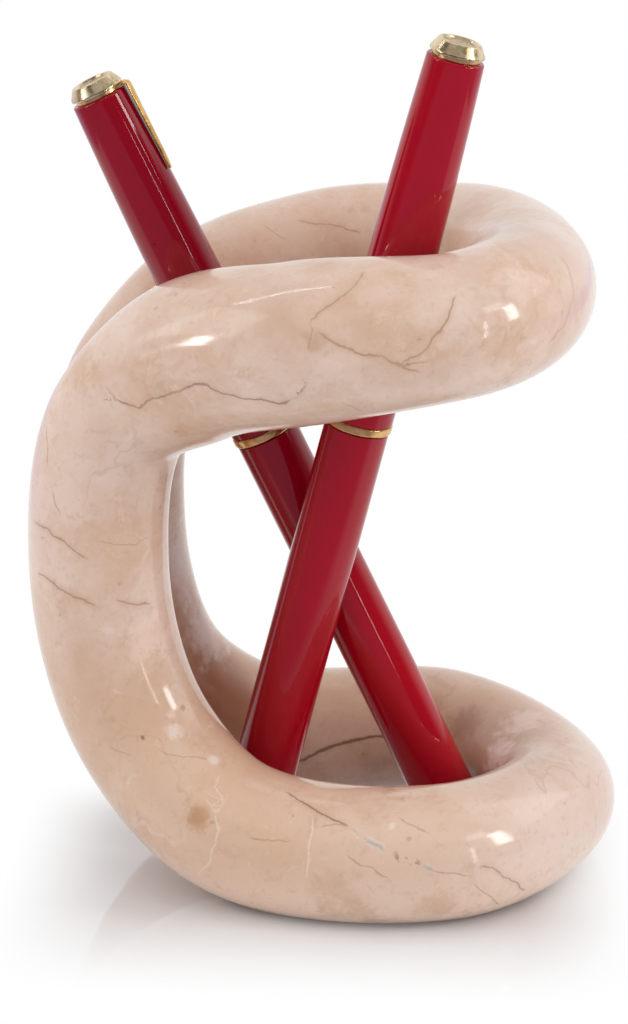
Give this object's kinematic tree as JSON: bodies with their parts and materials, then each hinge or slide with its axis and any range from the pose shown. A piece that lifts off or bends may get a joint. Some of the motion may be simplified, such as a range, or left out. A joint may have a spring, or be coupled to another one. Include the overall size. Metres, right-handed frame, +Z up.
{
  "type": "pen stand",
  "caption": "Desk pen stand made of a polished stone loop folded into a C, holding crossed red lacquered capped pens with gold trim.",
  "frame": {"origin": "centre of the base at desk level", "axes": "+Z up, +X towards the open end of the C, the loop's mirror plane is XZ and -Y faces the viewer of the picture"},
  "size_m": [0.0938, 0.084, 0.1356],
  "materials": {
    "marble": "polished",
    "felt": "matt",
    "lacquer": "gloss lacquer on brass",
    "gold": "polished gold plate",
    "grip_plastic": "gloss",
    "cartridge_plastic": "gloss",
    "liner_plastic": "satin"
  },
  "bodies": {
    "stand": {"stone_loop": "marble", "felt_feet": "felt"},
    "pen_a": {"pen_a_barrel": "lacquer", "pen_a_section": "grip_plastic", "pen_a_coupling_ring": "gold", "pen_a_cartridge": "cartridge_plastic", "pen_a_nib": "gold", "pen_a_feed": "grip_plastic"},
    "pen_a_cap": {"pen_a_cap_tube": "lacquer", "pen_a_lip_ring": "gold", "pen_a_cap_liner": "liner_plastic", "pen_a_clip_ring": "gold", "pen_a_finial": "gold"},
    "pen_a_clip": {"pen_a_clip": "gold"},
    "pen_b": {"pen_b_barrel": "lacquer", "pen_b_section": "grip_plastic", "pen_b_coupling_ring": "gold", "pen_b_cartridge": "cartridge_plastic", "pen_b_nib": "gold", "pen_b_feed": "grip_plastic"},
    "pen_b_cap": {"pen_b_cap_tube": "lacquer", "pen_b_lip_ring": "gold", "pen_b_cap_liner": "liner_plastic", "pen_b_clip_ring": "gold", "pen_b_finial": "gold"},
    "pen_b_clip": {"pen_b_clip": "gold"}
  },
  "joints": [
    {"name": "pen_a_lift", "type": "slide", "parent": "stand", "child": "pen_a", "axis": [0.2366, -0.0813, 0.9682], "range_m": [0, 0.12]},
    {"name": "pen_a_cap_pull", "type": "slide", "parent": "pen_a", "child": "pen_a_cap", "axis": [0.2366, -0.0813, 0.9682], "range_m": [0, 0.045]},
    {"name": "pen_a_clip_flex", "type": "hinge", "parent": "pen_a_cap", "child": "pen_a_clip", "pos_m": [0.01982, -0.01058, 0.13248], "axis": [0.9504, -0.1878, -0.248], "range_deg": [0, 4], "stiffness_Nm_per_rad": 0.3},
    {"name": "pen_b_lift", "type": "slide", "parent": "stand", "child": "pen_b", "axis": [-0.4314, -0.0551, 0.9005], "range_m": [0, 0.13]},
    {"name": "pen_b_cap_pull", "type": "slide", "parent": "pen_b", "child": "pen_b_cap", "axis": [-0.4314, -0.0551, 0.9005], "range_m": [0, 0.045]},
    {"name": "pen_b_clip_flex", "type": "hinge", "parent": "pen_b_cap", "child": "pen_b_clip", "pos_m": [-0.03215, -0.00292, 0.12561], "axis": [-0.1256, -0.9848, -0.1204], "range_deg": [0, 4], "stiffness_Nm_per_rad": 0.3}
  ]
}
